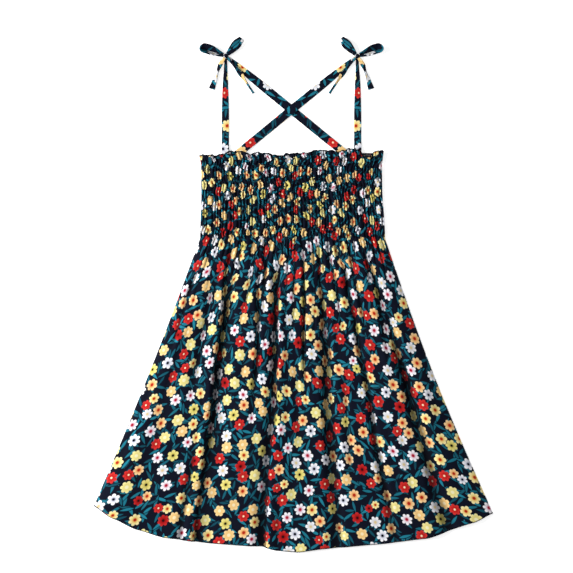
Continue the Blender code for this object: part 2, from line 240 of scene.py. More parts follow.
def edge_at(points, x):
    """The values of the two points that x lies between, and its share of the way between them."""
    places, values = (np.array(column, float) * MM for column in zip(*points))
    span = np.clip(np.searchsorted(places, x) - 1, 0, len(places) - 2)
    share = clamp((x - places[span]) / (places[span + 1] - places[span]))
    return values[span], values[span + 1], share


def hem_drop(x):
    """How far below the waist the hem is at this distance across."""
    low, high, share = edge_at(HEM, x)
    return mix(low, high, 0.65 * share + 0.35 * smooth(share))


def ruffle_flute(across):
    turn = across * FLUTES * math.pi
    return np.sin(turn + 0.9 * np.sin(0.37 * turn + 0.6))


def height_of(along):
    return clamp(-along) * (BODICE_LENGTH + RUFFLE_HEIGHT)


def neck_rise(x):
    """How far the front's neck edge is above a straight one, at this distance across."""
    low, high, share = edge_at(NECK_EDGE, x)
    fine = NECK_TREMBLE * wander(x / (7 * MM), 17)
    return mix(low, high, smooth(share)) + fine - BODICE_LENGTH - RUFFLE_HEIGHT


def panel_plan(across, along, uneven):
    """X and Y on a panel. across is -1 to 1; along is 1 at the hem, 0 at the waist, -1 at the neck."""
    down, height = clamp(along), height_of(along)
    x = np.where(along >= 0, skirt_x(across, down), bodice_x(across, height))
    edge = neck_rise(x) if uneven else NECK_RISE * smooth(across + 0.3) - 4.0 * MM
    y = np.where(along >= 0, -down * hem_drop(across * HEM_HALF), height + ruffle_share(height) * edge)
    return x, y


def back_plan(across, along):
    """X and Y on the back panel, which stays a little inside the front's outline."""
    x, y = panel_plan(across, along, uneven=False)
    x = x - across * BACK_INSET
    return x, y + np.where(along >= 0, clamp(along) * BACK_HEM_INSET, 0.0)


# ---- the panels' height

def trough_place(trough, down):
    upper = mix(trough["waist"], trough["middle"], down * 2)
    lower = mix(trough["middle"], trough["hem"], down * 2 - 1)
    return mix(upper, lower, smooth((down - 0.3) / 0.4)) * MM


def trough_share(trough, down):
    return smooth((down - trough["start"] + 0.06) / 0.14) * smooth((trough["end"] - down) / 0.25)


def from_side(x, down):
    return np.minimum(x - skirt_x(-1.0, down), skirt_x(1.0, down) - x)


def skirt_loft(x, down):
    """How far the front of the skirt stands off the back, with its troughs and their crests."""
    rounding = 1.0
    for side, width in SIDE_ROUNDING.items():
        inwards = side * (skirt_x(side, down) - x)
        rounding = rounding * np.sin(0.5 * math.pi * clamp(inwards / width))
    loft = mix(SKIRT_LOFT, HEM_LOFT, smooth((down - 0.6) / 0.4)) * smooth((down + 0.05) / 0.3)
    growth = mix(0.5, 1.0, down)
    lost, crest = np.zeros_like(x), np.zeros_like(x)
    for number, trough in enumerate(TROUGHS):
        share = trough_share(trough, down) * clamp(0.84 + 0.3 * wander(down * 1.7, 50 + number))
        sway = 2.2 * MM * wander(down * 2.2, 40 + number)
        away = x - trough_place(trough, down) - sway
        left, right = trough["left"] * growth * MM, trough["right"] * growth * MM
        lost = np.maximum(lost, share * trough["depth"] * bell(away, left, right))
        beside = away + 1.6 * left if trough["left"] < trough["right"] else away - 1.6 * right
        crest += share * trough["lip"] * MM * bell(beside, 9 * MM, 9 * MM)
    return rounding * (loft * (1.0 - lost) + crest)


def creases(x, down):
    """The small listed creases, each soft at both ends."""
    rise = np.zeros_like(x)
    for crease in CREASES:
        share = (down - crease["start"]) / (crease["end"] - crease["start"])
        middle = mix(crease["top"], crease["foot"], share) * MM
        ends = smooth(share / 0.25) * smooth((1.0 - share) / 0.3)
        width = crease["width"] * MM
        rise += crease["rise"] * MM * ends * bell(x - middle, width, width)
    return rise


def gathers(across, down):
    """Ridges that leave the last row of elastic side by side, with narrow valleys between them."""
    rise = np.zeros(np.broadcast(across, down).shape)
    for train in GATHERS:
        draw = np.random.default_rng(train["seed"])
        count = train["count"]
        turn = count * (0.5 * across + 0.5) + 0.45 * wander(across * count * 0.13, train["seed"])
        turn = turn + 0.35 * wander(down * 3 + across * 2, train["seed"] + 1)
        index = np.clip(np.floor(turn).astype(int) + 1, 0, count + 1)
        reach = draw.uniform(*train["reach"], count + 2)[index]
        size = draw.uniform(0.45, 1.0, count + 2)[index]
        fade_in = smooth(down / train["fade_in"]) if train["fade_in"] else 1.0
        ridge = np.abs(np.sin(math.pi * turn)) ** train["sharp"]
        rise += train["height"] * MM * size * ridge * fade_in * smooth(1.0 - down / reach)
    return rise


def shirring(across, height, seed):
    """Puffs between the rows of elastic, each split into puckers that shift from row to row."""
    draw = np.random.default_rng(seed)
    band = height / BODICE_LENGTH * ELASTIC_BANDS
    number = np.clip(np.floor(band).astype(int), 0, ELASTIC_BANDS)
    shift = draw.uniform(-0.5, 0.5, ELASTIC_BANDS + 3)
    lower = np.floor(band + 0.5).astype(int)
    sway = mix(shift[lower], shift[lower + 1], smooth(band + 0.5 - lower))
    turn = PUCKERS * (0.5 * across + 0.5) + 0.5 * wander(across * 6, seed + 1) + sway
    index = np.clip(np.floor(turn).astype(int) + 2, 0, PUCKERS + 4)
    size = draw.uniform(0.35, 1.0, (ELASTIC_BANDS + 1, PUCKERS + 5))[number, index]
    ridge = np.abs(np.sin(math.pi * turn)) ** 1.1
    puff = np.abs(np.sin(math.pi * band)) ** 0.55
    puff = np.where(height > BODICE_LENGTH, 1.0, puff)
    return PUCKER_HEIGHT * ridge * (puff * (0.35 + 0.65 * size) + 0.3 * (1 - puff))


def ruffle_waves(across, height):
    """Flutes in the ruffle, broad ones with finer ones on them."""
    broad = 0.5 * (1.0 + ruffle_flute(across))
    fine = 0.5 + 0.5 * np.sin(across * 31 * math.pi + 1.3 * np.sin(across * 9 + 1.0))
    uneven = 0.9 + 0.5 * wander(across * 5.0, 5)
    return ruffle_share(height) * FLUTE_HEIGHT * uneven * (1.2 * broad + 0.9 * fine)


def back_tucks(x, down):
    rise = np.zeros_like(x)
    for tuck in BACK_TUCKS:
        middle = mix(tuck["waist"], tuck["hem"], down) * MM
        share = smooth(down / 0.12) * smooth((tuck["end"] - down) / 0.35)
        width = tuck["half_width"] * MM
        rise = np.maximum(rise, share * tuck["height"] * MM * bell(x - middle, width, width))
    return rise


def hem_roll(y, across):
    """The hem is rolled narrow, so that it is a little thicker along its edge."""
    up = y + hem_drop(across * HEM_HALF)
    return 0.5 * MM * smooth((HEM_FOLD - up) / (0.6 * HEM_FOLD)) * np.sqrt(np.clip(up / MM, 0.05, 1.0))


def front_top(across, along, x, y):
    down, height = clamp(along), height_of(along)
    inside = clamp(from_side(x, down) / (12 * MM))
    floor = mix(BODICE_WALL, SKIRT_WALL, smooth(down / 0.08)) + GAP
    wall = mix(SKIRT_WALL, BODICE_WALL, smooth((y + 25 * MM) / (25 * MM)))
    settle = ROW_DIP * (1.0 - smooth(down / 0.06))
    stand = np.maximum(skirt_loft(x, down), back_tucks(x, down))
    small = creases(x, down) * smooth(stand / (3 * MM)) + gathers(across, down)
    quiver = 0.35 * MM * wander(x / (46 * MM) + 3 * down, 71) * smooth(down / 0.3)
    skirt = floor + wall + stand - settle + inside * (small + quiver) + hem_roll(y, across)
    lift = NECK_LIFT * smooth((height - NECK_LIFT_FROM) / (BODICE_LENGTH - 4 * MM - NECK_LIFT_FROM))
    relief = shirring(across, height, 12) * (1.0 - 0.6 * ruffle_share(height))
    bodice = BODICE_WALL + GAP + lift + BODICE_WALL - ROW_DIP + relief + ruffle_waves(across, height)
    top = np.where(along > 0, skirt, bodice)
    side = np.where(along > 0, from_side(x, down), bodice_x(1.0, height) - np.abs(x - bodice_x(0.0, height)))
    turn = clamp(1.0 - side / SIDE_FOLD)
    low = CLOTH + GAP
    return low + (top - low) * np.sqrt(clamp(1.0 - turn * turn))


def back_bottom(across, along, x):
    """The underside: flat on the floor but for the tucks and the valleys between gathers and puckers."""
    down, height = clamp(along), height_of(along)
    valley = BACK_VALLEY - BACK_VALLEY * clamp(gathers(-across, down) / (2.4 * MM))
    skirt = np.maximum(back_tucks(x, down), valley * smooth((0.5 - down) / 0.4))
    relief = shirring(-across, height, 31) / PUCKER_HEIGHT
    bodice = BACK_VALLEY * clamp(1.0 - relief * (1.0 - 0.6 * ruffle_share(height)))
    return np.where(along > 0, skirt, bodice)


# ---- meshes

def panel_rows(hem, skirt, waist, band, ruffle):
    """Places along a panel, from the hem (1) to the neck edge (-1), closest where there is most detail."""
    near_hem = 9 * MM / LONGEST_DROP
    rows = [
        np.linspace(1.0, 1.0 - near_hem, hem, endpoint=False),
        np.linspace(1.0 - near_hem, 0.12, skirt, endpoint=False),
        np.linspace(0.12, 0.0, waist, endpoint=False),
        np.linspace(0.0, -FIRST_ROW, band * ELASTIC_BANDS, endpoint=False),
        np.linspace(-FIRST_ROW, -1.0, ruffle),
    ]
    return np.concatenate(rows)[:, None]


def quads(rows, columns):
    """Corner numbers of a grid's faces, counter-clockwise for rows that run up and columns to the right."""
    corner = np.arange((rows - 1) * columns).reshape(rows - 1, columns)[:, :-1].ravel()
    return np.stack([corner, corner + 1, corner + columns + 1, corner + columns], 1)


def add_object(name, data):
    made = bpy.data.objects.new(name, data)
    bpy.context.scene.collection.objects.link(made)
    return made


def mesh_object(name, vertices, faces, maps, materials, face_slots=None):
    """A smooth-shaded object from arrays. maps is UV map name to a UV for each face corner."""
    data = bpy.data.meshes.new(name)
    data.from_pydata(vertices.tolist(), [], faces.tolist())
    for title, uv in maps.items():
        layer = data.uv_layers.new(name=title)
        layer.uv.foreach_set("vector", np.ascontiguousarray(uv, np.float32).ravel())
    data.polygons.foreach_set("use_smooth", np.ones(len(faces), bool))
    for material in materials:
        data.materials.append(material)
    if face_slots is not None:
        data.polygons.foreach_set("material_index", np.asarray(face_slots, np.int32))
    data.update()
    return add_object(name, data)


def cloth_shares(x, z, along, evenness, cut):
    """How far across the cut cloth each point is, from -1 to 1: by the length of the surface, with the
    rest of the cloth's width tucked into the valleys."""
    run = np.hypot(np.diff(x, axis=1), np.diff(z, axis=1))
    middle = 0.5 * (z[:, 1:] + z[:, :-1])
    valley = clamp((blurred(middle, 60) - middle) / (0.8 * MM)) + evenness
    width = cloth_width(along, cut)
    spare = np.maximum(width - run.sum(1, keepdims=True), 0.0)
    step = run + spare * valley * np.diff(x, axis=1) / (valley * np.diff(x, axis=1)).sum(1, keepdims=True)
    step *= width / step.sum(1, keepdims=True)
    place = np.concatenate([np.zeros((len(x), 1)), np.cumsum(step, 1)], 1)
    return place - 0.5 * width


def cloth_width(along, cut):
    return mix(cut["top"], cut["hem"], clamp(along))


def cloth_down(x, y):
    """How far along the cut cloth each point is: elastic takes up some of its length too."""
    return np.broadcast_to(np.where(y > 0, y * BODICE_TAKE_UP, y), x.shape)


def blurred(z, passes):
    for _ in range(passes):
        z = np.concatenate([z[:, :1], 0.25 * (z[:, :-2] + z[:, 2:]) + 0.5 * z[:, 1:-1], z[:, -1:]], 1)
    return z


def crease_shade_mask(z):
    """How much shade is painted on each point: 0 on the crests to 1 deep in a crease, at two scales:
    puckers, and the folds of the skirt.
    """
    narrow = clamp((blurred(z, 10) - z) / (0.6 * MM))
    broad = clamp((blurred(z, 200) - z) / (3.6 * MM))
    return 1.0 - (1.0 - 0.95 * narrow) * (1.0 - broad)


def shell(name, x, y, top, bottom, cloth, materials, outer_is_top=True):
    """A closed sheet between two heights over one grid, with its print and bake maps."""
    rows, columns = x.shape
    count = rows * columns
    vertices = np.concatenate([
        np.stack([x, y, top], -1).reshape(-1, 3),
        np.stack([x, y, bottom], -1).reshape(-1, 3),
    ]) + np.array(WAIST)
    upper = quads(rows, columns)
    lower = upper[:, ::-1] + count
    grid = np.arange(count).reshape(rows, columns)
    ring = np.concatenate([grid[0, :-1], grid[:-1, -1], grid[-1, :0:-1], grid[:0:-1, 0]])
    after = np.roll(ring, -1)
    rim = np.stack([ring + count, after + count, after, ring], 1)
    faces = np.concatenate([upper, lower, rim])
    print_map = np.tile(cloth.reshape(-1, 2), (2, 1))[faces].reshape(-1, 2)
    column = np.tile(np.linspace(0.0, 1.0, columns), rows)
    row = (cloth[..., 1] - cloth[..., 1].min()) / np.ptp(cloth[..., 1])
    outer = np.stack([0.005 + 0.83 * column, 0.005 + 0.99 * row.ravel()], 1)
    inner = np.stack([0.845 + 0.15 * column, 0.005 + 0.99 * row.ravel()], 1)
    both = np.concatenate([outer, inner] if outer_is_top else [inner, outer])
    corners = faces.copy()
    corners[len(upper) + len(lower):] %= count
    if not outer_is_top:
        corners[len(upper) + len(lower):] += count
    bake_map = both[corners].reshape(-1, 2)
    slots = np.zeros(len(faces), int)
    slots[len(upper):len(upper) + len(lower)] = 1
    if not outer_is_top:
        slots[:len(upper) + len(lower)] = 1 - slots[:len(upper) + len(lower)]
    made = mesh_object(name, vertices, faces, {"cloth": print_map, "OFBake": bake_map}, materials, slots)
    # Painted shade: each point's depth in a crease, which the cloth's material darkens the colour by.
    crease_shade = made.data.attributes.new("crease_shade", "FLOAT", "POINT")
    depth = crease_shade_mask(top if outer_is_top else -bottom)
    crease_shade.data.foreach_set("value", np.tile(depth.ravel(), 2).astype(np.float32))
    return made


def front_panel(materials):
    across = np.linspace(-1.0, 1.0, FRONT_COLUMNS)[None, :]
    along = panel_rows(hem=8, skirt=34, waist=16, band=7, ruffle=15)
    x, y = panel_plan(across, along, uneven=True)
    top = front_top(across, along, x, y)
    evenness = mix(0.15, 1.5, 1.0 - smooth((along + 0.02) / 0.1))
    u = cloth_shares(x, top, along, evenness, FRONT_CUT)
    v = cloth_down(x, y)
    made = shell("front_panel_cloth", x, y, top, top - CLOTH, np.stack([u, v], -1), materials)
    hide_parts("front_panel")
    return made


def back_panel(materials):
    across = np.linspace(-1.0, 1.0, BACK_COLUMNS)[None, :]
    along = panel_rows(hem=9, skirt=24, waist=10, band=6, ruffle=8)
    x, y = back_plan(across, along)
    bottom = back_bottom(across, along, x)
    u = cloth_shares(x, -bottom, along, np.where(along > 0, 0.5, 1.2), BACK_CUT)
    v = cloth_down(x, y)
    cloth = np.stack([BACK_PRINT_SHIFT[0] - u, v + BACK_PRINT_SHIFT[1]], -1)
    made = shell("back_panel_cloth", x, y, bottom + CLOTH, bottom, cloth, materials, outer_is_top=False)
    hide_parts("back_panel")
    return made


# ---- straps and bows

def curve_through(points, times):
    """Smooth curve through evenly timed rows of numbers."""
    last = len(points) - 1
    index = np.clip(np.floor(times).astype(int), 0, last - 1)
    t = (times - index)[:, None]
    a, b, c, d = (points[np.clip(index + k, 0, last)] for k in (-1, 0, 1, 2))
    return b + 0.5 * t * (c - a + t * (2 * a - 5 * b + 4 * c - d + t * (3 * (b - c) + d - a)))


def unit(vectors):
    return vectors / np.linalg.norm(vectors, axis=1, keepdims=True)


def tube(name, rings, cloth, materials):
    """A closed skin over rings of points. cloth holds U and V for each ring's points, with the first
    point again at the end of the ring."""
    count, around = rings.shape[:2]
    vertices = rings.reshape(-1, 3)
    i, k = (a.ravel() for a in np.meshgrid(np.arange(count - 1), np.arange(around), indexing="ij"))
    step = (k + 1) % around
    faces = np.stack([i * around + k, i * around + step, (i + 1) * around + step, (i + 1) * around + k], 1)
    corner_rings, corner_spots = np.stack([i, i, i + 1, i + 1], 1), np.stack([k, k + 1, k + 1, k], 1)
    print_map = cloth[corner_rings, corner_spots].reshape(-1, 2)
    bake_map = np.stack([corner_spots / around, corner_rings / (count - 1)], -1).reshape(-1, 2)
    made = mesh_object(name, vertices, faces, {"cloth": print_map, "OFBake": bake_map}, materials)
    close_ends(made, around, count)
    return made


def close_ends(made, around, count):
    """Adds a face across the first and the last ring."""
    mesh = bmesh.new()
    mesh.from_mesh(made.data)
    mesh.verts.ensure_lookup_table()
    layers = mesh.loops.layers.uv
    for first in (0, (count - 1) * around):
        ring = [mesh.verts[first + k] for k in range(around)]
        cap = mesh.faces.new(ring[::-1] if first == 0 else ring)
        cap.smooth = True
        for loop in cap.loops:
            beside = next(other for other in loop.vert.link_loops if other.face != cap)
            for layer in (layers["cloth"], layers["OFBake"]):
                loop[layer].uv = beside[layer].uv
    bmesh.ops.recalc_face_normals(mesh, faces=mesh.faces)
    mesh.to_mesh(made.data)
    mesh.free()


def ribbon(name, stations, print_from, materials, side, seed):
    """A sewn strap through stations: middle, width, heading of its width, and tilt from flat, in mm and
    degrees. Where it narrows, the same cloth is bunched into pleats. On the right side (1) the print is
    turned over, like the bow."""
    points = np.array(stations, float)
    values = curve_through(points, np.linspace(0, len(points) - 1, (len(points) - 1) * RIBBON_STEPS + 1))
    middle, width = values[:, :3] * MM, values[:, 3] * MM
    middle[:, 2] = np.maximum(middle[:, 2], 0.5 * STRAP_WALL + 0.05 * MM)
    heading, tilt = np.radians(values[:, 4]), np.radians(values[:, 5])
    aside = np.stack([np.cos(heading) * np.cos(tilt), np.sin(heading) * np.cos(tilt), np.sin(tilt)], 1)
    tangent = unit(np.gradient(middle, axis=0))
    aside = unit(aside - tangent * (aside * tangent).sum(1, keepdims=True))
    up = np.cross(aside, tangent)
    length = np.concatenate([[0], np.cumsum(np.linalg.norm(np.diff(middle, axis=0), axis=1))])
    angle = np.linspace(0, 2 * math.pi, RIBBON_SIDES, endpoint=False)
    across = (np.sign(np.cos(angle)) * np.abs(np.cos(angle)) ** 0.55)[None, :]
    thick = (np.sign(np.sin(angle)) * np.abs(np.sin(angle)) ** 0.45)[None, :]
    bunched = clamp(1.0 - width / width.max())[:, None]
    pleats = 0.55 * MM * bunched * np.sin(across * 7.5 + 2.0 * wander(length / (30 * MM), seed)[:, None])
    ripple = 0.16 * MM * wander(length[:, None] / (9 * MM) + 0.4 * across, seed + 1)
    seam = -0.16 * MM * np.exp(-((across - 0.72) / 0.09) ** 2) * (thick > 0)
    puffed = 0.5 * STRAP_WALL * (1.0 + 0.7 * bunched) * thick
    lift = puffed + (pleats + ripple) * (1.0 - np.abs(across) ** 6) + seam
    edge = 0.5 * width[:, None] * across * (1.0 + 0.02 * wander(length[:, None] / (7 * MM), seed + 2))
    rings = middle[:, None] + edge[..., None] * aside[:, None] + lift[..., None] * up[:, None]
    rings[..., 2] = np.maximum(rings[..., 2], 0.03 * MM)
    wrapped = -side * np.concatenate([across, across[:, :1]], 1)
    behind = np.concatenate([thick, thick[:, :1]], 1) < 0
    reach = 0.5 * wrapped * width.max()
    u = print_from[0] + np.where(behind, FACE_SHIFT - reach, reach)
    v = print_from[1] + np.broadcast_to(length[:, None], (len(length), RIBBON_SIDES + 1))
    cloth = np.stack([np.broadcast_to(u, v.shape), v], -1)
    made = tube(name, rings + np.array(WAIST), cloth, materials)
    made["width"], made["length"] = float(width.max()), float(length[-1])
    return made


def station(x, y, z, width, heading=0.0, tilt=0.0):
    return [x, y, z, width, heading, tilt]


def mirrored(stations, side):
    """The same stations for the left bow (side -1) or the right one (side 1)."""
    if side < 0:
        return stations
    return [[-x, y, z, width, -heading, -tilt] for x, y, z, width, heading, tilt in stations]


def from_knot(rows, knot):
    return [station(x + knot.x, y + knot.y, *rest) for x, y, *rest in rows]


def front_strap(knot):
    rows = (
        (-0.6, 92.5, STRAP_TUCKED, 9.6),
        (-0.6, 101, STRAP_TUCKED, 9.6),
        (-0.6, 109.5, STRAP_TUCKED, 9.4),
        (-0.6, 126, STRAP_FLAT, 9.2),
        (-0.6, 158, STRAP_FLAT, 9.0),
        (-0.6, 190, STRAP_FLAT, 7.2),
        (-0.3, knot.y - 16, STRAP_FLAT + 0.2, 4.6),
        (0.0, knot.y - 2.6, 1.8, 3.4),
    )
    return [station(knot.x + x, y, z, width) for x, y, z, width in rows]


def back_strap(knot, over):
    foot = Vector((BACK_FOOT["x"], BACK_FOOT["y"]))
    run = Vector((knot.x, knot.y)) - foot
    heading = math.degrees(math.atan2(run.y, run.x)) - 90.0
    middle = foot.x / (foot.x - knot.x)
    rise = CROSSING_RISE if over else 0.0
    plan = (
        (0.0, STRAP_TUCKED, 9.8),
        (0.045, STRAP_TUCKED, 9.8),
        (0.10, STRAP_TUCKED, 10.0),
        (0.20, STRAP_FLAT, 10.4),
        (middle - 0.12, STRAP_FLAT, 10.6),
        (middle - 0.045, STRAP_FLAT + rise, 10.6),
        (middle + 0.045, STRAP_FLAT + rise, 10.6),
        (middle + 0.12, STRAP_FLAT, 10.6),
        (0.72, STRAP_FLAT, 10.4),
        (0.84, STRAP_FLAT, 8.6),
        (0.93, STRAP_FLAT, 6.6),
        (0.988, STRAP_FLAT + 0.4, 4.2),
    )
    places = [(foot + run * share, z, width) for share, z, width in plan]
    return [station(at.x, at.y, z, width, heading) for at, z, width in places]


# From the knot, in mm and degrees: X, Y, Z, width, then heading and tilt as in ribbon
OUTER_LOOP = (
    (-3.0, 2.0, 3.3, 4.2, 118, 48),
    (-11.5, 6.4, 4.4, 8.6, 118, 42),
    (-19, 9.8, 5.2, 10.6, 112, 40),
    (-25.8, 11.4, 5.4, 11.0, 128, 40),
    (-28.8, 8.6, 5.5, 11.0, 186, 44),
    (-25.4, 5.4, 5.2, 10.4, 262, 60),
    (-15.5, 2.2, 4.6, 8.4, 272, 64),
    (-3.0, 0.2, 3.3, 4.0, 272, 62),
)
INNER_LOOP = (
    (2.1, 2.2, 1.7, 4.6, 134),
    (8.5, 9.0, 1.0, 9.4, 134),
    (13.6, 14.8, 1.0, 11.2, 134),
    (18.2, 19.8, 1.5, 8.6, 136, 4),
    (19.6, 21.4, 3.5, 7.4, 138, 8),
    (18, 19.6, 5.5, 8.8, 138, 10),
    (13.4, 14.6, 6.2, 11.4, 136, 10),
    (8.4, 9.0, 5.8, 9.6, 134, 6),
    (2.1, 2.2, 4.6, 4.6, 134),
)
OUTER_TAIL = (
    (-1.8, -2.3, 3.8, 3.4, -40),
    (-7.0, -11, 3.6, 5.8, -24, 10),
    (-10.4, -19.5, 2.8, 3.2, -18, 35),
    (-13.6, -29, 2.0, 5.6, -20, 15),
    (-17.6, -41, STRAP_FLAT, 8.0, -30),
)
INNER_TAIL = (
    (2.1, -2.4, 4.2, 3.0, 44),
    (11.0, -12.6, 3.8, 3.4, 40),
    (18.4, -22.4, 3.6, 6.0, 36, 12),
    (24.6, -31.2, 3.0, 3.0, 32, 45),
    (30.0, -39.5, 2.6, 2.4, 30, 50),
    (34.6, -46.6, 2.0, 3.0, 30, 40),
)


KNOT = {  # sizes in mm, its lean in degrees, and where its print starts in metres of cloth
    "core": 2.3, "band": 0.7, "half_length": 3.3, "lean": 24.0, "print": (0.073, 0.441),
    "rings": 26, "sides": 36,
}
PRINT_FROM = {  # where the print of each piece starts, in metres of cloth
    "front_strap": (0.389, 0.09), "back_strap": (0.275, 0.174), "bow_outer_loop": (0.18, 0.207),
    "bow_inner_loop": (0.052, 0.23), "bow_outer_tail": (0.141, 0.126), "bow_inner_tail": (0.176, 0.1),
}


def knot_piece(name, centre, side, materials):
    """A small tight knot: a band of bunched cloth wrapped round the middle of the bow."""
    along = np.linspace(-1.0, 1.0, KNOT["rings"])
    turn = np.linspace(0, 2 * math.pi, KNOT["sides"], endpoint=False)
    reach = np.sqrt(np.clip(1.0 - along ** 2, 0.02, 1.0))
    band = smooth((0.62 - np.abs(along)) / 0.16)
    folds = 0.22 * np.sin(along * 19)[:, None] * band[:, None] * (1.0 + 0.3 * np.sin(turn * 2 + 1))[None, :]
    ends = 0.16 * (1.0 - band[:, None]) * np.cos(turn * 7)[None, :]
    radius = (KNOT["core"] * reach + KNOT["band"] * band)[:, None] + folds + ends
    lean = math.radians(-side * KNOT["lean"])
    axis = np.array([math.cos(lean), math.sin(lean), 0.0])
    across = np.array([-math.sin(lean), math.cos(lean), 0.0])
    up = np.array([0.0, 0.0, 1.0])
    rings = (
        KNOT["half_length"] * along[:, None, None] * axis
        + (radius * np.cos(turn))[..., None] * across
        + (0.95 * radius * np.sin(turn))[..., None] * up
    ) * MM + np.array(centre)
    turns = np.linspace(0, 0.02, KNOT["sides"] + 1)[None, :] + KNOT["print"][0]
    lengths = KNOT["print"][1] + 4.0 * MM * along[:, None]
    lengths = np.broadcast_to(lengths, (KNOT["rings"], KNOT["sides"] + 1))
    cloth = np.stack([np.broadcast_to(turns, lengths.shape), lengths], -1)
    return tube(name, rings, cloth, materials)


def shoulder(label, side, materials):
    """The straps and the bow of one shoulder."""
    low, high = (Vector(corner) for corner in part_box(f"bow_knot_{label}"))
    centre = 0.5 * (low + high)
    left = Vector((-abs(centre.x - WAIST.x), centre.y - WAIST.y)) / MM
    shapes = {
        "front_strap": front_strap(left),
        "back_strap": back_strap(left, over=side > 0),
        "bow_outer_loop": from_knot(OUTER_LOOP, left),
        "bow_inner_loop": from_knot(INNER_LOOP, left),
        "bow_outer_tail": from_knot(OUTER_TAIL, left),
        "bow_inner_tail": from_knot(INNER_TAIL, left),
    }
    made = {}
    for number, (title, stations) in enumerate(shapes.items()):
        node = f"{title}_{label}"
        shape = mirrored(stations, side)
        made[title] = ribbon(f"{node}_cloth", shape, PRINT_FROM[title], materials, side, seed=60 + number)
        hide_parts(node)
    knot = knot_piece(f"bow_knot_{label}_cloth", centre, side, materials)
    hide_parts(f"bow_knot_{label}")
    return made, knot


# ---- stitches

STITCH = {"gap": 2.9 * MM, "length": 2.5 * MM, "width": 0.5 * MM}  # along the elastic
WRAP = {"gap": 0.85 * MM, "length": 2.6 * MM, "width": 1.5 * MM}  # over the edges


def grains(name, places, directions, ups, length, width, material):
    """Short stitches as one mesh: each is a slim eight-sided grain of thread."""
    directions, ups = unit(directions), unit(ups)
    places = places.copy()
    places[:, 2] = np.maximum(places[:, 2], 0.5 * width + 0.5 * length * np.abs(directions[:, 2]))
    sides = unit(np.cross(ups, directions))
    ends = 0.5 * length * directions
    ribs = 0.5 * width * sides
    tops = 0.5 * width * ups
    corners = np.stack([
        places - ends, places + ends,
        places - 0.25 * ends + ribs, places - 0.25 * ends - ribs,
        places + tops, places - tops,
    ], 1).reshape(-1, 3)
    pattern = np.array([
        (0, 4, 2), (0, 3, 4), (0, 5, 3), (0, 2, 5), (1, 2, 4), (1, 4, 3), (1, 3, 5), (1, 5, 2),
    ])
    faces = (pattern[None] + 6 * np.arange(len(places))[:, None, None]).reshape(-1, 3)
    return mesh_object(name, corners + np.array(WAIST), faces, {}, [material])


def spaced(path, gap):
    """Points every gap along a path, with the path's direction there."""
    steps = np.linalg.norm(np.diff(path, axis=0), axis=1)
    length = np.concatenate([[0], np.cumsum(steps)])
    at = np.arange(0.5 * gap, length[-1], gap)
    points, ahead, behind = (
        np.stack([np.interp(at + shift, length, path[:, k]) for k in range(3)], 1)
        for shift in (0.0, 0.3 * MM, -0.3 * MM)
    )
    return points, ahead - behind


def line_places(along, margin):
    across = np.linspace(-1.0 + margin, 1.0 - margin, LINE_POINTS)[None, :]
    return across, np.broadcast_to(along, across.shape)


def front_line(along, margin, lift):
    """A line across the front panel's surface."""
    across, along = line_places(along, margin)
    x, y = panel_plan(across, along, uneven=True)
    return np.stack([x, y, front_top(across, along, x, y) + lift], -1)[0]


def back_line(along, margin, lift):
    """A line across the back panel's underside."""
    across, along = line_places(along, margin)
    x, y = back_plan(across, along)
    return np.stack([x, y, back_bottom(across, along, x) + lift], -1)[0]


def elastic_rows(name, line, lift, material):
    """A row of straight stitches along each row of elastic."""
    rows = [line(-FIRST_ROW * row / ELASTIC_BANDS - 1e-6, 0.02, lift) for row in range(ELASTIC_BANDS + 1)]
    spots = [spaced(row, STITCH["gap"]) for row in rows]
    places, ways = (np.concatenate(column) for column in zip(*spots))
    ups = np.tile([0.0, 0.0, 1.0], (len(places), 1))
    return grains(name, places, ways, ups, STITCH["length"], STITCH["width"], material)


def overlock(name, path, material):
    """Thread wrapped closely over an edge."""
    places, ways = spaced(path, WRAP["gap"])
    ups = np.tile([0.0, 0.0, 1.0], (len(places), 1))
    slant = unit(np.cross(ways, ups)) + 0.25 * unit(ways)
    return grains(name, places, slant, ups, WRAP["length"], WRAP["width"], material)


# ---- materials

class Signal:
    """A node tree's output that plain arithmetic can be done on."""

    def __init__(self, tree, socket):
        self.tree, self.socket = tree, socket

    def math(self, operation, *others):
        node = self.tree.nodes.new("ShaderNodeMath")
        node.operation = operation
        for index, value in enumerate((self, *others)):
            plug(self.tree, node.inputs[index], value)
        return Signal(self.tree, node.outputs[0])

    def __add__(self, other):
        return self.math("ADD", other)

    def __sub__(self, other):
        return self.math("SUBTRACT", other)

    def __mul__(self, other):
        return self.math("MULTIPLY", other)

    def __truediv__(self, other):
        return self.math("DIVIDE", other)

    def clamped(self):
        return self.math("MAXIMUM", 0.0).math("MINIMUM", 1.0)

    def parts(self):
        node = self.tree.nodes.new("ShaderNodeSeparateXYZ")
        self.tree.links.new(self.socket, node.inputs[0])
        return [Signal(self.tree, socket) for socket in node.outputs]


def plug(tree, socket, value):
    if isinstance(value, Signal):
        tree.links.new(value.socket, socket)
    else:
        socket.default_value = value


def linear(red, green, blue):
    """A screen colour, 0 to 255, as the linear colour that a shader takes."""
    channels = [c / 255 for c in (red, green, blue)]
    return [c / 12.92 if c <= 0.04045 else ((c + 0.055) / 1.055) ** 2.4 for c in channels] + [1.0]


def ramp(factor, rows, key):
    """Picks a row of a table by a random number, and gives the row's colour or numbers under key."""
    node = factor.tree.nodes.new("ShaderNodeValToRGB")
    node.color_ramp.interpolation = "CONSTANT"
    factor.tree.links.new(factor.socket, node.inputs[0])
    stops = node.color_ramp.elements
    start = 0.0
    for index, row in enumerate(rows):
        stop = stops[index] if index < 2 else stops.new(start)
        stop.position = start
        start += row["share"]
    for index, row in enumerate(rows):
        stops[index].color = row[key]
    return Signal(factor.tree, node.outputs["Color"])


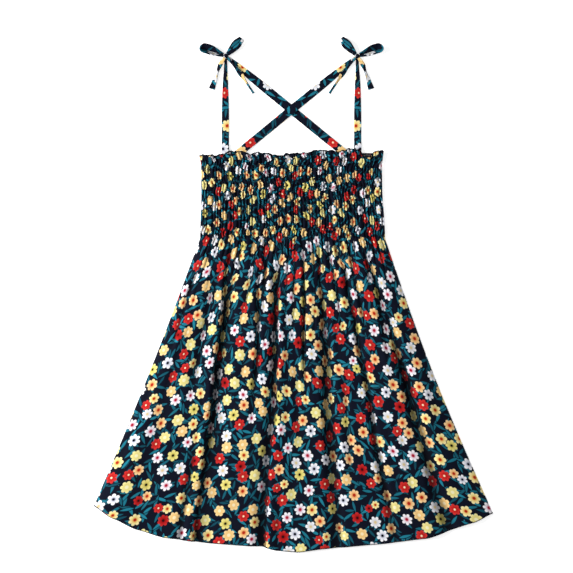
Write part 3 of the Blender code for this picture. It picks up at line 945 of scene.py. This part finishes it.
def blend(share, under, over):
    tree = share.tree
    node = tree.nodes.new("ShaderNodeMix")
    node.data_type = "RGBA"
    plug(tree, node.inputs[0], share)
    plug(tree, node.inputs[6], under)
    plug(tree, node.inputs[7], over)
    return Signal(tree, node.outputs[2])


def vector(tree, x, y):
    node = tree.nodes.new("ShaderNodeCombineXYZ")
    for socket, value in zip(node.inputs, (x, y)):
        plug(tree, socket, value)
    return Signal(tree, node.outputs[0])


def turned(x, y, angle):
    """X and Y in axes turned by an angle in radians: a number, or a signal."""
    if isinstance(angle, Signal):
        cosine, sine = angle.math("COSINE"), angle.math("SINE")
    else:
        cosine, sine = math.cos(angle), math.sin(angle)
    return x * cosine + y * sine, y * cosine - x * sine


def seeds(place, layer):
    """Scattered seeds about one cell apart. Gives the offset from the nearest seed in mm, the room
    around it in mm, three random numbers of its own, and its place on the cloth in metres."""
    tree, cell = place.tree, layer["cell"]
    u, v, _ = place.parts()
    u, v = (part * (1000.0 / cell) + moved for part, moved in zip((u, v), layer["shift"]))
    u, v = turned(u, v, layer["turn"])
    at = vector(tree, u, v)
    found = []
    for feature in ("F1", "N_SPHERE_RADIUS"):
        node = tree.nodes.new("ShaderNodeTexVoronoi")
        node.voronoi_dimensions = "2D"
        node.feature = feature
        node.inputs["Scale"].default_value = 1.0
        node.inputs["Randomness"].default_value = layer["loose"]
        tree.links.new(at.socket, node.inputs["Vector"])
        found.append(node)
    here = at.parts()
    seed = Signal(tree, found[0].outputs["Position"]).parts()
    x, y = (here[k] - seed[k] for k in (0, 1))
    room = Signal(tree, found[1].outputs["Radius"]) * cell
    chance = Signal(tree, found[0].outputs["Color"]).parts()
    home = turned(seed[0], seed[1], -layer["turn"])
    home = [(part - moved) * (cell * MM) for part, moved in zip(home, layer["shift"])]
    return x * cell, y * cell, room, chance, vector(tree, *home)


def length_of(x, y):
    return (x * x + y * y).math("SQRT")


# Each kind of flower: its share of them all, then the colours of its petals, their rims, the ring round
# the centre, and the centre, then the centre's share of its radius and how deep its petals are cut
FLOWERS = table(
    ("share", "petal", "rim", "ring", "centre", "disc", "notch"),
    (0.14, (228, 206, 122), (238, 224, 166), (222, 132, 60), (168, 38, 22), 0.27, 0.34),
    (0.15, (230, 180, 110), (240, 206, 156), (216, 106, 56), (170, 34, 24), 0.28, 0.34),
    (0.09, (216, 200, 112), (230, 220, 154), (224, 214, 142), (230, 224, 182), 0.30, 0.32),
    (0.09, (226, 178, 104), (236, 204, 146), (230, 196, 130), (236, 216, 174), 0.30, 0.33),
    (0.05, (210, 196, 100), (226, 214, 132), (96, 80, 34), (4, 4, 8), 0.22, 0.34),
    (0.08, (212, 213, 222), (236, 236, 240), (130, 134, 160), (3, 5, 14), 0.24, 0.42),
    (0.09, (218, 210, 220), (238, 236, 240), (208, 96, 118), (156, 16, 44), 0.26, 0.44),
    (0.11, (206, 207, 214), (236, 236, 240), (214, 204, 180), (208, 186, 138), 0.24, 0.44),
    (0.15, (172, 24, 24), (200, 46, 42), (212, 96, 78), (236, 218, 184), 0.19, 0.33),
    (0.05, (160, 18, 20), (188, 38, 36), (120, 10, 14), (44, 4, 10), 0.24, 0.34),
)
for kind in FLOWERS:
    for part in ("petal", "rim", "ring", "centre"):
        kind[part] = linear(*kind[part])
    kind["shape"] = (kind["disc"], kind["notch"], 0.0, 1.0)

FLOWER_LAYER = {
    "cell": 20.0, "shift": (3.37, 8.21), "turn": 0.5, "loose": 0.58, "largest": 7.85, "smallest": 5.2,
}
STRAP_FLOWER_LAYER = {**FLOWER_LAYER, "cell": 29.0, "loose": 0.66}
NIGHT = ((8, 12, 27), (13, 18, 34))
LEAF_COLOURS = {"dark": (10, 56, 73), "light": (30, 122, 144), "rib": (58, 150, 160)}

# Slim leaves, each on its own seed. Sizes are in mm.
LEAF_LAYERS = table(
    ("cell", "shift", "turn", "loose", "longest", "shortest", "width"),
    (15.0, (7.13, 2.41), 0.9, 0.7, 18.0, 8.5, 3.7),
    (15.5, (1.93, 5.77), 0.3, 0.7, 17.0, 8.5, 3.6),
    (20.0, (9.61, 6.05), 1.2, 0.7, 18.0, 8.5, 3.6),
)
LEAF_OUTLINE = 0.8  # bare cloth round a leaf that lies over another
LEAF_SWIRL = 16.0  # how fast the leaves' direction turns from place to place


def leaves(colour, place, layer):
    """Slim pointed leaves, those near each other pointing much the same way."""
    x, y, room, chance, home = seeds(place, layer)
    heading = noise_of(home, 22.0, 0.0) * LEAF_SWIRL + chance[1] * 1.1 - layer["turn"]
    along, beside = turned(x, y, heading)
    length = (room * 2.75).math("MINIMUM", chance[0] * 2.0 + (layer["longest"] - 2.0))
    share = along * 2.0 / length
    taper = (share * share * -1.0 + 1.0) * (share * 0.22 + 1.0)
    aside = beside.math("ABSOLUTE")
    edge = taper * (0.5 * layer["width"]) - aside
    drawn = length.math("GREATER_THAN", layer["shortest"])
    leaf = (edge / 0.25).clamped() * drawn
    outline = ((edge + LEAF_OUTLINE) / 0.3).clamped() * drawn
    green = blend(chance[2], linear(*LEAF_COLOURS["dark"]), linear(*LEAF_COLOURS["light"]))
    rib = (aside * -4.0 + 1.0).clamped() * 0.35
    green = blend(rib, green, linear(*LEAF_COLOURS["rib"]))
    colour = blend(outline, colour, linear(*NIGHT[0]))
    return blend(leaf, colour, green)


def flowers(colour, place, layer):
    """One flower on each seed, with six or seven round petals and a round centre."""
    x, y, room, chance, _ = seeds(place, layer)
    kind = chance[0]
    disc, notch, _ = ramp(kind, FLOWERS, "shape").parts()
    size = (room * 1.12).math("MINIMUM", chance[2] * 0.7 + (layer["largest"] - 0.7))
    petals = chance[1].math("GREATER_THAN", 0.35) + 6.0
    turn = (y.math("ARCTAN2", x) + math.pi) * petals * 0.5 + (chance[1] * 40.0)
    lobe = turn.math("COSINE").math("ABSOLUTE")
    reach = size * (lobe.math("POWER", 0.65) * notch + (notch * -1.0 + 1.0))
    away = length_of(x, y)
    share = away / size
    mask = ((reach - away) / 0.25).clamped() * size.math("GREATER_THAN", layer["smallest"])
    petal = blend(((share - 0.35) / 0.5).clamped(), ramp(kind, FLOWERS, "petal"), ramp(kind, FLOWERS, "rim"))
    crease = (lobe * -3.0 + 1.0).clamped() * ((share - 0.3) / 0.25).clamped() * 0.34
    petal = blend(crease, petal, ramp(kind, FLOWERS, "ring"))
    ring = ((disc * 1.75 - share) / 0.18).clamped() * 0.72
    petal = blend(ring, petal, ramp(kind, FLOWERS, "ring"))
    centre = ((disc - share) / 0.05).clamped()
    petal = blend(centre, petal, ramp(kind, FLOWERS, "centre"))
    return blend(mask, colour, petal)


# Painted shade: deep in the creases the cloth's colour is mixed towards a near black, as the shade there.
CREASE_SHADE_STRENGTH = 0.78  # how much of the colour is lost deep in a crease
CREASE_SHADE_COLOUR = (3, 4, 8)


def new_material(name, roughness, specular):
    """A new material's node tree and its Principled BSDF."""
    material = bpy.data.materials.new(name)
    material.use_nodes = True
    shader = material.node_tree.nodes["Principled BSDF"]
    shader.inputs["Roughness"].default_value = roughness
    shader.inputs["Specular IOR Level"].default_value = specular
    return material, material.node_tree, shader


def printed_cotton(name, flower_layer, reverse=False, crease_shaded=False):
    """Woven cotton with a floral print, or its paler wrong side. With crease shade, shade is painted into
    the colour, darker deep in the creases."""
    material, tree, shader = new_material(name, 0.78, 0.06)
    uv = tree.nodes.new("ShaderNodeUVMap")
    uv.uv_map = "cloth"
    place = Signal(tree, uv.outputs["UV"])
    colour = blend(noise_of(place, 24.0), linear(*NIGHT[0]), linear(*NIGHT[1]))
    for layer in LEAF_LAYERS:
        colour = leaves(colour, place, layer)
    colour = flowers(colour, place, flower_layer)
    if reverse:
        colour = blend(noise_of(place, 300.0) * 0.1 + 0.38, colour, linear(128, 132, 142))
    elif crease_shaded:
        # Painted shade: the colour is darkened deep in the creases, by the panel's attribute of each point's
        # depth in a crease.
        crease_shade = tree.nodes.new("ShaderNodeAttribute")
        crease_shade.attribute_name = "crease_shade"
        depth = Signal(tree, crease_shade.outputs["Fac"])
        colour = blend(depth * CREASE_SHADE_STRENGTH, colour, linear(*CREASE_SHADE_COLOUR))
    tree.links.new(colour.socket, shader.inputs["Base Color"])
    shader.inputs["Sheen Weight"].default_value = 0.01
    shader.inputs["Sheen Roughness"].default_value = 0.5
    weave(place, shader)
    return material


def noise_of(place, scale, detail=3.0):
    node = place.tree.nodes.new("ShaderNodeTexNoise")
    node.noise_dimensions = "2D"
    node.inputs["Scale"].default_value = scale
    node.inputs["Detail"].default_value = detail
    place.tree.links.new(place.socket, node.inputs["Vector"])
    return Signal(place.tree, node.outputs[0])


def weave(place, shader):
    """Plain weave, 22 threads to a centimetre each way, with slubs."""
    tree = place.tree
    u, v, _ = place.parts()
    across = (u * (2200.0 * math.pi)).math("SINE")
    down = (v * (2200.0 * math.pi)).math("SINE")
    height = across * down * 0.6 + noise_of(place, 700.0)
    bump = tree.nodes.new("ShaderNodeBump")
    bump.inputs["Strength"].default_value = 0.35
    bump.inputs["Distance"].default_value = 0.00012
    tree.links.new(height.socket, bump.inputs["Height"])
    tree.links.new(bump.outputs[0], shader.inputs["Normal"])


def thread_material():
    material, tree, shader = new_material("navy_thread", 0.8, 0.08)
    spot = tree.nodes.new("ShaderNodeTexCoord")
    place = Signal(tree, spot.outputs["Object"])
    grain = noise_of(place, 900.0)
    tree.links.new(blend(grain, linear(4, 6, 14), linear(12, 15, 28)).socket, shader.inputs["Base Color"])
    return material


# ---- the stage

def stage():
    bpy.ops.mesh.primitive_plane_add(size=FLOOR_SIZE, location=(0.0, 0.0, -FLOOR_DROP))
    floor = bpy.context.object
    floor.name = "floor"
    material, _, shader = new_material("pale_floor", 0.9, 0.1)
    shader.inputs["Base Color"].default_value = (0.94, 0.94, 0.94, 1.0)
    shader.inputs["Emission Color"].default_value = (1.0, 1.0, 1.0, 1.0)
    shader.inputs["Emission Strength"].default_value = FLOOR_GLOW
    floor.data.materials.append(material)
    world = bpy.data.worlds.new("studio")
    world.use_nodes = True
    background = world.node_tree.nodes["Background"]
    background.inputs["Color"].default_value = (1.0, 1.0, 1.0, 1.0)
    background.inputs["Strength"].default_value = WORLD_LIGHT
    bpy.context.scene.world = world
    for title, place, size, power in LAMPS:
        data = bpy.data.lights.new(title, "AREA")
        data.shape = "DISK"
        data.size = size
        data.energy = power
        lamp = add_object(title, data)
        lamp.location = place
        lamp.rotation_euler = (-Vector(place)).to_track_quat("-Z", "Y").to_euler()
    bpy.context.scene.view_settings.view_transform = "Standard"


def camera():
    """Straight above, as far back as a product photographer stands."""
    data = bpy.data.cameras.new("camera")
    data.sensor_width = 36.0
    data.lens = data.sensor_width * CAMERA_HEIGHT / VIEW_WIDTH
    data.clip_end = 20.0
    made = add_object("camera", data)
    made.location = (*VIEW_CENTRE, CAMERA_HEIGHT)
    bpy.context.scene.camera = made


def main():
    camera()
    stage()
    reverse = printed_cotton("floral_cotton_reverse", FLOWER_LAYER, reverse=True)
    cotton = [printed_cotton("floral_cotton", FLOWER_LAYER, crease_shaded=True), reverse]
    strap_cotton = [printed_cotton("floral_cotton_straps", STRAP_FLOWER_LAYER)]
    thread = thread_material()
    front, back = front_panel(cotton), back_panel(cotton)
    trims = {
        "front": [
            elastic_rows("front_elastic_stitches", front_line, 0.12 * MM, thread),
            overlock("front_hem_overlock", front_line(1.0, 0.001, -0.5 * CLOTH), thread),
            overlock("front_neck_overlock", front_line(-1.0, 0.004, -0.5 * CLOTH), thread),
        ],
        "back": [
            elastic_rows("back_elastic_stitches", back_line, 0.05 * MM, thread),
            overlock("back_hem_overlock", back_line(1.0, 0.002, 0.75 * MM), thread),
            overlock("back_neck_overlock", back_line(-1.0, 0.004, 0.8 * MM), thread),
        ],
    }
    panels = (
        (front, FRONT_CUT, [back.name], trims["front"]),
        (back, BACK_CUT, ["floor"], trims["back"]),
    )
    for panel, cut, under, stitches in panels:
        area = cut["top"] * CLOTH_LENGTH + 0.5 * (cut["hem"] - cut["top"]) * LONGEST_DROP
    pieces = [front, back, *trims["front"], *trims["back"]]
    for label, side in (("left", -1), ("right", 1)):
        ribbons, knot = shoulder(label, side, strap_cotton)
        for title in ("front_strap", "back_strap", "bow_outer_loop", "bow_inner_loop"):
            piece = ribbons[title]
        pieces += [*ribbons.values(), knot]
    for piece in pieces:
        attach(piece, "root")


main()
